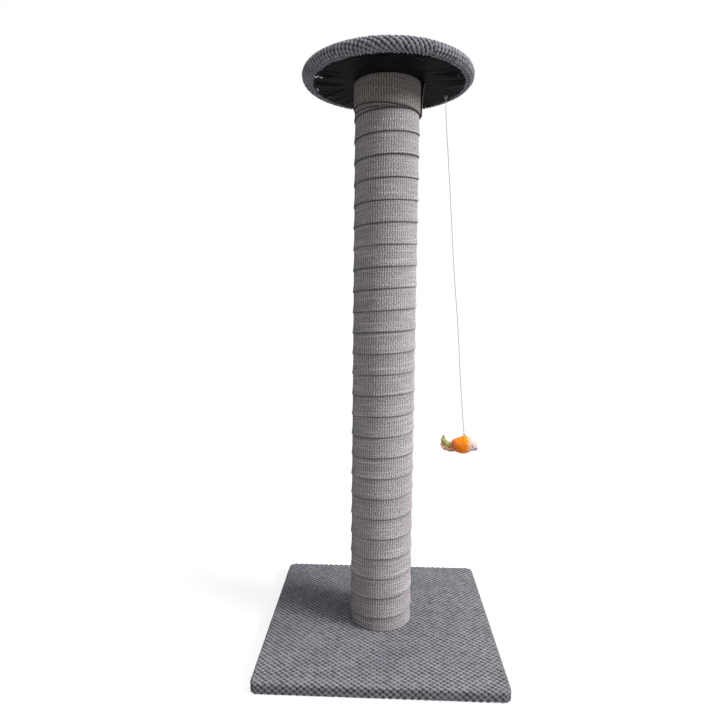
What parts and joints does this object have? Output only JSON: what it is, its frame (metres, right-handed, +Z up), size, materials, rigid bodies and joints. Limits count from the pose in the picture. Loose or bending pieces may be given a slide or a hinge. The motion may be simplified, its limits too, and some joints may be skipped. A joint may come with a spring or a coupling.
{
  "type": "cat scratching post",
  "caption": "Tall scratching post on a square fabric foot, wound with webbing, with a round padded perch and a stuffed toy hanging on a string.",
  "frame": {"origin": "under the middle of the square foot, on the plane that it stands on", "axes": "+Z up along the post; -Y is the front; +X is the side on which the toy hangs"},
  "size_m": [0.404, 0.404, 1],
  "materials": {
    "particle_board": "raw particle board",
    "plywood": "raw plywood",
    "plug_wood": "raw softwood",
    "cardboard": "spiral-wound card",
    "bobble_fabric": "chunky bobble weave, matte",
    "webbing": "ribbed woven webbing, matte",
    "black_lining": "thin black lining with a faint sheen",
    "foam": "open foam",
    "zinc_steel": "zinc plated",
    "black_wire": "dark lacquered wire",
    "string_thread": "thin twisted thread",
    "orange_plush": "short plush",
    "white_plush": "short plush",
    "green_plush": "short plush",
    "pink_plush": "short plush",
    "black_bead": "glossy bead"
  },
  "bodies": {
    "stand": {"base_board": "particle_board", "base_cover": "bobble_fabric", "base_lining": "black_lining", "base_washer": "zinc_steel", "base_bolt": "zinc_steel", "base_staple_1": "zinc_steel", "base_staple_2": "zinc_steel", "base_staple_3": "zinc_steel", "base_staple_4": "zinc_steel", "base_staple_5": "zinc_steel", "base_staple_6": "zinc_steel", "base_staple_7": "zinc_steel", "base_staple_8": "zinc_steel", "post_tube": "cardboard", "lower_plug": "plug_wood", "lower_tee_nut": "zinc_steel", "upper_plug": "plug_wood", "upper_tee_nut": "zinc_steel", "webbing_winding": "webbing", "collar_strip": "webbing", "platform_board": "plywood", "platform_lining": "black_lining", "platform_cover": "bobble_fabric", "platform_pad": "foam", "platform_washer": "zinc_steel", "platform_bolt": "zinc_steel", "platform_staple_1": "black_wire", "platform_staple_2": "black_wire", "platform_staple_3": "black_wire", "platform_staple_4": "black_wire", "platform_staple_5": "black_wire", "platform_staple_6": "black_wire", "platform_staple_7": "black_wire", "platform_staple_8": "black_wire", "string_staple": "black_wire"},
    "loop": {"string_loop": "string_thread"},
    "hanging_string": {"string": "string_thread"},
    "toy": {"toy_knot": "string_thread", "toy_body": "orange_plush", "toy_head": "white_plush", "toy_eye_near": "black_bead", "toy_eye_far": "black_bead", "toy_tail_upper": "green_plush", "toy_tail_lower": "pink_plush"}
  },
  "joints": [
    {"name": "side_swing", "type": "hinge", "parent": "stand", "child": "loop", "pos_m": [0.1038, 0.0416, 0.9681], "axis": [0, -1, 0], "range_deg": [-5, 75]},
    {"name": "fore_aft_swing", "type": "hinge", "parent": "loop", "child": "hanging_string", "pos_m": [0.1038, 0.0416, 0.9659], "axis": [1, 0, 0], "range_deg": [-75, 75]},
    {"name": "toy_spin", "type": "hinge", "parent": "hanging_string", "child": "toy", "pos_m": [0.153, 0.0416, 0.36], "axis": [-0.0896, 0, 0.996], "continuous": true}
  ]
}
